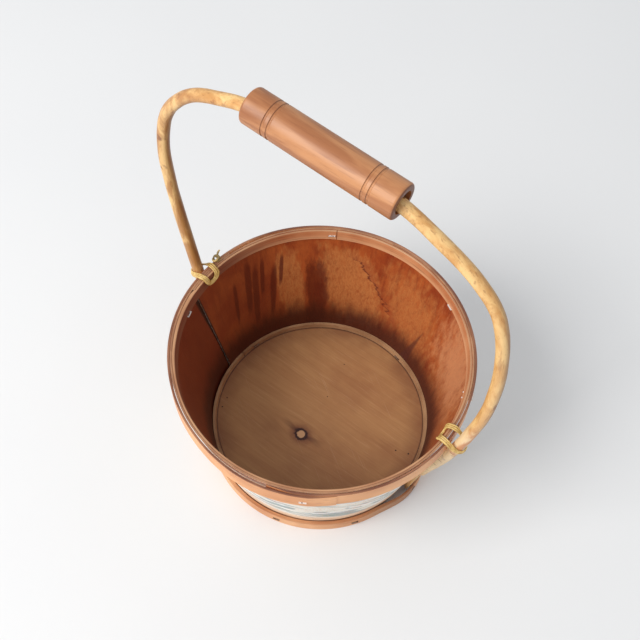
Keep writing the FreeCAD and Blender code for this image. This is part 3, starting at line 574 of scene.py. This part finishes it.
# ---------------------------------------------------------------- staples and tacks
# Square steel wire staples through the strips, and one round-headed tack at each foot of the bow.
# Those at the rim have stayed bright, with a few specks of rust. The others have gone dull.
steel, tree, shader = new_material("staple_wire")
place = object_place(tree)
rust = fade(tree, cloud(tree, place, 900.0, 3.0), 0.55, 0.68)
body = blend(tree, rust, colour(242, 241, 238), colour(120, 66, 40))
connect(tree, shader, Base_Color=body, Metallic=maths(tree, "MULTIPLY_ADD", rust, -0.35, 0.35),
        Roughness=maths(tree, "MULTIPLY_ADD", rust, 0.4, 0.32))
cover(nodes["rim_staples"], steel)
dull, tree, shader = new_material("rusted_wire")
spots = cloud(tree, object_place(tree), 1100.0, 3.0)
connect(tree, shader, Base_Color=blend(tree, fade(tree, spots, 0.4, 0.6), colour(150, 132, 116),
                                       colour(96, 58, 40)), Metallic=0.5, Roughness=0.55)
for name in ("base_staples", "top_ring_staples", "foot_tacks"):
    cover(nodes[name], dull)

# ---------------------------------------------------------------- bow handle
# A peeled willow rod bent green into a bow, its feet shaved to tongues that go under the base hoop.
# Cream-yellow and smooth, with brown streaks where the bark was thin, a few knots and knife cuts.
rod_radius = 0.004
tongue_top, scarf_top, tongue_step = 0.044, 0.078, 0.0016
# corners of the rod's middle, millimetres outward and up, from the left foot over to the right foot
bow_corners = ((-84.7, 4.0), (-93.8, 50.0), (-109.0, 105.0), (-118.6, 165.0), (-122.4, 190.0),
               (-125.4, 233.5), (-116.9, 272.0), (-93.9, 300.0), (-51.8, 317.4), (45.8, 311.2),
               (86.9, 292.5), (106.9, 275.0), (114.9, 251.0), (119.9, 214.5), (119.4, 169.0),
               (108.8, 105.0), (92.5, 50.0), (83.3, 4.0))


def rounded_run(corners, share, caps):
    """Points along straight runs joined by arcs. caps limits the arc at some corners."""
    line = [corners[0]]
    for index in range(1, len(corners) - 1):
        corner = corners[index]
        back, ahead = corners[index - 1] - corner, corners[index + 1] - corner
        run = min(share * min(back.length, ahead.length), caps.get(index, 1.0))
        first, last = corner + back.normalized() * run, corner + ahead.normalized() * run
        inward = (back.normalized() + ahead.normalized()).normalized()
        turn = math.pi - back.angle(ahead)
        radius = run / math.tan(turn / 2)
        centre = corner + inward * (radius / math.cos(turn / 2))
        for step in range(9):
            point = first.lerp(last, step / 8)
            line.append(centre + (point - centre).normalized() * radius)
    line.append(corners[-1])
    return line


def even_steps(line, step):
    """The same run of points, spaced evenly."""
    out, left = [line[0]], step
    for start, end in zip(line, line[1:]):
        length, gone = (end - start).length, 0.0
        while length - gone > left:
            gone += left
            out.append(start.lerp(end, gone / length))
            left = step
        left -= length - gone
    if (out[-1] - line[-1]).length > step * 0.4:
        out.append(line[-1])
    return out


def skin(name, line, closed, section, sides, side_hint):
    """A tube along points. section(index, turn) gives the offsets across and along the hint."""
    mesh = bmesh.new()
    rings = []
    count = len(line)
    for index, point in enumerate(line):
        before = line[(index - 1) % count] if closed or index else point
        after = line[(index + 1) % count] if closed or index < count - 1 else point
        ahead = (after - before).normalized()
        across = side_hint(point).cross(ahead).normalized()
        out = ahead.cross(across).normalized()
        ring = []
        for side in range(sides):
            along_out, along_across = section(index, 2 * math.pi * side / sides)
            ring.append(mesh.verts.new(point + out * along_out + across * along_across))
        rings.append(ring)
    for index in range(count if closed else count - 1):
        ring, following = rings[index], rings[(index + 1) % count]
        for side in range(sides):
            mesh.faces.new((ring[side], ring[(side + 1) % sides],
                            following[(side + 1) % sides], following[side]))
    if not closed:
        mesh.faces.new(rings[0][::-1])
        mesh.faces.new(rings[-1])
    bmesh.ops.recalc_face_normals(mesh, faces=mesh.faces)
    data = bpy.data.meshes.new(name)
    mesh.to_mesh(data)
    mesh.free()
    for face in data.polygons:
        face.use_smooth = True
    made = bpy.data.objects.new(name, data)
    bpy.context.scene.collection.objects.link(made)
    return made


corners = [Vector((across / 1000, 0, up / 1000)) for across, up in bow_corners]
middle = len(corners) // 2
bow_line = even_steps(rounded_run(corners, 0.45, {middle - 1: 0.014, middle: 0.014}), 0.0016)


def rod_section(index, turn):
    """Nearly round. Below the rim its outer side is shaved flat, in short knife cuts."""
    point = bow_line[index]
    swell = noise.noise(Vector((index * 0.045, 3.0, 0.0))) * 0.035
    lump = noise.noise(Vector((index * 0.11, math.cos(turn) * 0.9, math.sin(turn) * 0.9 + 7.0))) * 0.035
    radius = rod_radius * (0.985 + swell + lump)
    out, across = radius * math.cos(turn), radius * math.sin(turn)
    if point.z < scarf_top:
        share = (point.z - tongue_top) / (scarf_top - tongue_top)
        flat = 0.0 if share < 0 else tongue_step + (rod_radius - tongue_step) * share
        cut = (point.z * 1000 % 7.0) / 7.0
        knife_depth = 0.00022 + 0.00018 * noise.noise(Vector((math.floor(point.z * 143), 0, 5)))
        flat += knife_depth * (cut - 0.5)
        out = min(out, max(flat, 0.0))
    return out, across


def outward(point):
    return Vector((1.0 if point.x > 0 else -1.0, 0.0, 0.0)) if point.z < 0.2 else Vector((
        point.x, 0.0, (point.z - 0.17) * 1.4)).normalized()


rod = skin("bow_rod", bow_line, False, rod_section, 20, outward)
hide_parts("handle_bow")
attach(rod, "bucket")

rod_material, tree, shader = new_material("peeled_rod")
place = object_place(tree)
place_x, place_y, place_z = put(tree, "SeparateXYZ", {0: place})
along = cloud(tree, stretched(tree, place, 340, 900, 22), 1.0, 4.0, 0.6)
patch = cloud(tree, stretched(tree, place, 70, 170, 30), 1.0, 4.0, 0.6, 0.6)
knots = cloud(tree, stretched(tree, place, 110, 150, 80), 1.0, 2.0)
pores = cloud(tree, stretched(tree, place, 700, 900, 300), 1.0, 3.0, 0.7)
body = blend(tree, fade(tree, patch, 0.36, 0.66), colour(240, 198, 134), colour(208, 152, 88))
body = blend(tree, maths(tree, "MULTIPLY", fade(tree, along, 0.54, 0.7), 0.5), body,
             colour(150, 92, 50))
body = blend(tree, maths(tree, "MULTIPLY", fade(tree, pores, 0.56, 0.7), 0.25), body,
             colour(160, 108, 62))
body = blend(tree, maths(tree, "MULTIPLY", fade(tree, knots, 0.66, 0.74), 0.75), body,
             colour(116, 58, 32))
# the left side kept more of its inner bark; both feet took stain from the wall
bark = maths(tree, "MULTIPLY", fade(tree, place_x, -0.06, -0.11), fade(tree, patch, 0.42, 0.6))
body = blend(tree, maths(tree, "MULTIPLY", bark, 0.45), body, colour(150, 92, 46))
# painted shade: the side facing away from the window is darkened
facing = put(tree, "NewGeometry")["Normal"]
painted_shade_side = put(tree, "VectorMath", {0: facing, 1: (0.78, 0.52, -0.35)}, operation="DOT_PRODUCT")[1]
painted_shade_side = fade(tree, painted_shade_side, 0.15, 0.9)
body = blend(tree, maths(tree, "MULTIPLY", painted_shade_side, 0.75), body, colour(118, 68, 34))
foot = fade(tree, maths(tree, "MULTIPLY_ADD", patch, 0.03, place_z), 0.085, 0.06)
left_side = fade(tree, place_x, 0.02, -0.02)
foot_cover = maths(tree, "MULTIPLY_ADD", left_side, 0.35, 0.25)
body = blend(tree, maths(tree, "MULTIPLY", foot, foot_cover), body, colour(160, 90, 58))
# by the right tie the bark came off clean, and the knife left nicks below it
clean = maths(tree, "MULTIPLY", fade(tree, place_x, 0.085, 0.1), fade(tree, place_z, 0.16, 0.13))
body = blend(tree, maths(tree, "MULTIPLY", clean, 0.6), body,
             blend(tree, fade(tree, patch, 0.5, 0.66), colour(246, 220, 180), colour(206, 132, 92)))
nicks = fade(tree, cloud(tree, stretched(tree, place, 90, 90, 620), 1.0, 2.0), 0.58, 0.66)
below_tie = fade(tree, place_z, 0.112, 0.104)
nicks = maths(tree, "MULTIPLY", nicks, maths(tree, "MULTIPLY", clean, below_tie))
body = blend(tree, maths(tree, "MULTIPLY", nicks, 0.7), body, colour(112, 60, 36))
connect(tree, shader, Base_Color=body, Roughness=0.42, Normal=relief(tree, along, 0.25, 0.0006))
cover(rod, rod_material)

# ---------------------------------------------------------------- grip
# Turned hardwood sleeve threaded loosely on the bow, with two fine grooves near each end.
# Oiled by hands: darker on its end grain, with painted shade on its underside.
grip_material, tree, shader = new_material("turned_grip")
place = object_place(tree)
fine = cloud(tree, stretched(tree, place, 40, 900, 900), 1.0, 4.0, 0.65)
broad = cloud(tree, stretched(tree, place, 14, 120, 120), 1.0, 3.0, 0.6, 0.5)
body = blend(tree, fade(tree, broad, 0.35, 0.66), colour(198, 138, 92), colour(166, 106, 66))
body = blend(tree, maths(tree, "MULTIPLY", fade(tree, fine, 0.52, 0.72), 0.4), body,
             colour(130, 76, 46))
place_x, place_y, place_z = put(tree, "SeparateXYZ", {0: place})
worn_dark = fade(tree, cloud(tree, stretched(tree, place, 30, 60, 60), 1.0, 3.0), 0.5, 0.72)
body = blend(tree, maths(tree, "MULTIPLY", worn_dark, 0.45), body, colour(140, 84, 52))
# painted shade: the underside, facing away from the window, is darkened
facing = put(tree, "NewGeometry")["Normal"]
painted_shade_side = put(tree, "VectorMath", {0: facing, 1: (0.6, 0.3, -0.7)}, operation="DOT_PRODUCT")[1]
painted_shade_side = fade(tree, painted_shade_side, 0.0, 0.9)
body = blend(tree, maths(tree, "MULTIPLY", painted_shade_side, 0.5), body, colour(120, 68, 40))
end_grain = fade(tree, maths(tree, "ABSOLUTE", put(tree, "SeparateXYZ", {
    0: put(tree, "NewGeometry")["Normal"]})[0]), 0.55, 0.85)
body = blend(tree, maths(tree, "MULTIPLY", end_grain, 0.75), body, colour(92, 46, 30))
connect(tree, shader, Base_Color=body, Roughness=0.42, Normal=relief(tree, fine, 0.15, 0.0003))
cover(nodes["grip"], grip_material)

# ---------------------------------------------------------------- cane lashings
# Each foot of the bow is tied to the rim by split cane that comes up through holes inside, goes over
# the rim and round the rod. Three flat strands lie side by side. The left end is knotted.
cane_material, tree, shader = new_material("split_cane")
place = object_place(tree)
tone = cloud(tree, place, 260.0, 3.0)
body = blend(tree, fade(tree, tone, 0.35, 0.7), colour(230, 196, 122), colour(180, 142, 76))
body = blend(tree, maths(tree, "MULTIPLY", fade(tree, cloud(tree, place, 900.0, 2.0), 0.56, 0.7), 0.4),
             body, colour(128, 96, 44))
from_knot = put(tree, "VectorMath", {0: place, 1: (-0.1036, 0.0135, 0.12)}, operation="DISTANCE")[1]
body = blend(tree, maths(tree, "MULTIPLY", fade(tree, from_knot, 0.0055, 0.003), 0.7), body,
             colour(104, 88, 50))
connect(tree, shader, Base_Color=body, Roughness=0.38)


def curved_run(corners, closed, between):
    """Points on a smooth curve through the corners."""
    count = len(corners)
    out = []
    for index in range(count if closed else count - 1):
        if closed:
            a, b, c, d = (corners[(index + shift) % count] for shift in (-1, 0, 1, 2))
        else:
            a, b = corners[max(index - 1, 0)], corners[index]
            c, d = corners[index + 1], corners[min(index + 2, count - 1)]
        for step in range(between):
            t = step / between
            out.append(0.5 * (2 * b + (c - a) * t + (2 * a - 5 * b + 4 * c - d) * t * t
                              + (3 * b - a - 3 * c + d) * t ** 3))
    if not closed:
        out.append(corners[-1])
    return out


def cane_strand(name, corners, closed, wide, thick, turn_round, middle_point):
    """A flat strip of cane along a curve, its flat side against the wood."""
    line = curved_run([Vector(corner) / 1000 for corner in corners], closed, 7)
    line = [turn_round @ point for point in line]
    centre = turn_round @ Vector(middle_point)

    def section(index, turn):
        return thick / 2000 * math.cos(turn), wide / 2000 * math.sin(turn)

    strand = skin(name, line, closed, section, 10, lambda point: point - centre)
    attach(strand, "bucket")
    cover(strand, cane_material)
    return strand


def cane_turn(strand, lean, out_by):
    """Corners of one closed turn, millimetres: inside the rim, over it, round the rod and back."""
    spread = strand * 1.25
    drop = strand * 1.2
    half = [(96.9 - 0.5 * strand, 2.0 + 0.5 * spread, 113.4 - 0.6 * drop),
            (97.1 - 0.5 * strand, 3.6 + spread, 116.4),
            (99.0, 4.1 + spread, 118.6 + 0.15 * strand),
            (103.4 + out_by, 4.7 + spread, 118.5 + 0.1 * strand),
            (108.4 + out_by, 4.9 + 0.6 * spread, 116.0 - drop + lean),
            (112.2 + out_by, 4.0 + 0.2 * spread, 113.6 - drop + lean),
            (114.2 + out_by, 1.7, 112.8 - drop + lean)]
    return half + [(x, -y, z) for x, y, z in reversed(half)]


for side, angle, out_by, count in (("right", 0.0, 0.0, 3), ("left", math.pi, 0.3, 3)):
    turn_round = Matrix.Rotation(angle, 4, "Z")
    strands = [cane_strand("cane_%s_%d" % (side, strand + 1), cane_turn(strand, 0.4 * strand, out_by),
                           True, 1.7, 1.1, turn_round, (0.1065 + out_by / 1000, 0, 0.113))
               for strand in range(count)]
    for strand in strands:
        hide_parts("lashing_" + side)

# the tied end at the left: a small tangle of two loops and a cut tail
knot_parts = []
for number, (wide, tall, lean) in enumerate(((2.5, 1.7, 0.3), (2.0, 2.3, -0.7))):
    loop = []
    for step in range(10):
        turn = 2 * math.pi * step / 10
        loop.append((-103.3 + wide * math.cos(turn), 12.3 + tall * math.sin(turn) + lean,
                     119.5 + 1.2 * math.sin(turn + number) + number * 1.1))
    knot_parts.append(cane_strand("knot_loop_%d" % (number + 1), loop, True, 1.5, 1.1,
                                  Matrix.Identity(4), (-0.1033, 0.0123, 0.118)))
tail = [(-103.8, 12.6, 119.6), (-104.0, 14.2, 120.8), (-104.6, 15.8, 122.0), (-104.4, 17.4, 123.2)]
knot_parts.append(cane_strand("knot_tail_cut", tail, False, 1.5, 0.9, Matrix.Identity(4),
                              (-0.1033, 0.0123, 0.112)))
for part in knot_parts:
    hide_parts("lashing_knot_left")

# ---------------------------------------------------------------- floor, light and camera
# A wide, matt, pale table top in a pale room, lit by one large soft window to the left.
# The eye is above and a little to the front, looking down into the bucket.
floor_mesh = bpy.data.meshes.new("floor")
floor_mesh.from_pydata([(-9, -9, 0), (9, -9, 0), (9, 9, 0), (-9, 9, 0)], [], [(0, 1, 2, 3)])
floor = bpy.data.objects.new("floor", floor_mesh)
bpy.context.scene.collection.objects.link(floor)
floor_material, tree, shader = new_material("table_top")
tint = cloud(tree, object_place(tree), 3.0, 2.0)
connect(tree, shader, Base_Color=blend(tree, tint, colour(234, 235, 236), colour(228, 229, 231)),
        Roughness=0.8)
cover(floor, floor_material)

world = bpy.data.worlds.new("room")
bpy.context.scene.world = world
world.use_nodes = True
world.node_tree.nodes["Background"].inputs[0].default_value = (0.97, 0.985, 1.0, 1)
world.node_tree.nodes["Background"].inputs[1].default_value = 0.66

window_light = bpy.data.lights.new("window", "AREA")
window_light.energy = 42
window_light.size = 1.3
window_light.color = (1.0, 0.98, 0.95)
window = bpy.data.objects.new("window", window_light)
bpy.context.scene.collection.objects.link(window)
window.location = (-0.78, -1.57, 1.62)
window.rotation_mode = "QUATERNION"
window.rotation_quaternion = (window.location - Vector((0, 0, 0.1))).to_track_quat("Z", "Y")

camera_data = bpy.data.cameras.new("camera")
camera = bpy.data.objects.new("camera", camera_data)
bpy.context.scene.collection.objects.link(camera)
camera_data.lens = 56.25
camera_data.sensor_width = 36
camera_right = Vector((0.79615, 0.60485, 0.01774))
camera_up = Vector((-0.52522, 0.67620, 0.51663))
camera_back = Vector((0.30049, -0.42063, 0.85603))
pose = Matrix.Identity(4)
for row in range(3):
    pose[row][0], pose[row][1], pose[row][2] = camera_right[row], camera_up[row], camera_back[row]
pose.translation = (0.18907, -0.26902, 0.70102)
camera.matrix_world = pose
bpy.context.scene.camera = camera
bpy.context.scene.view_settings.view_transform = "Standard"
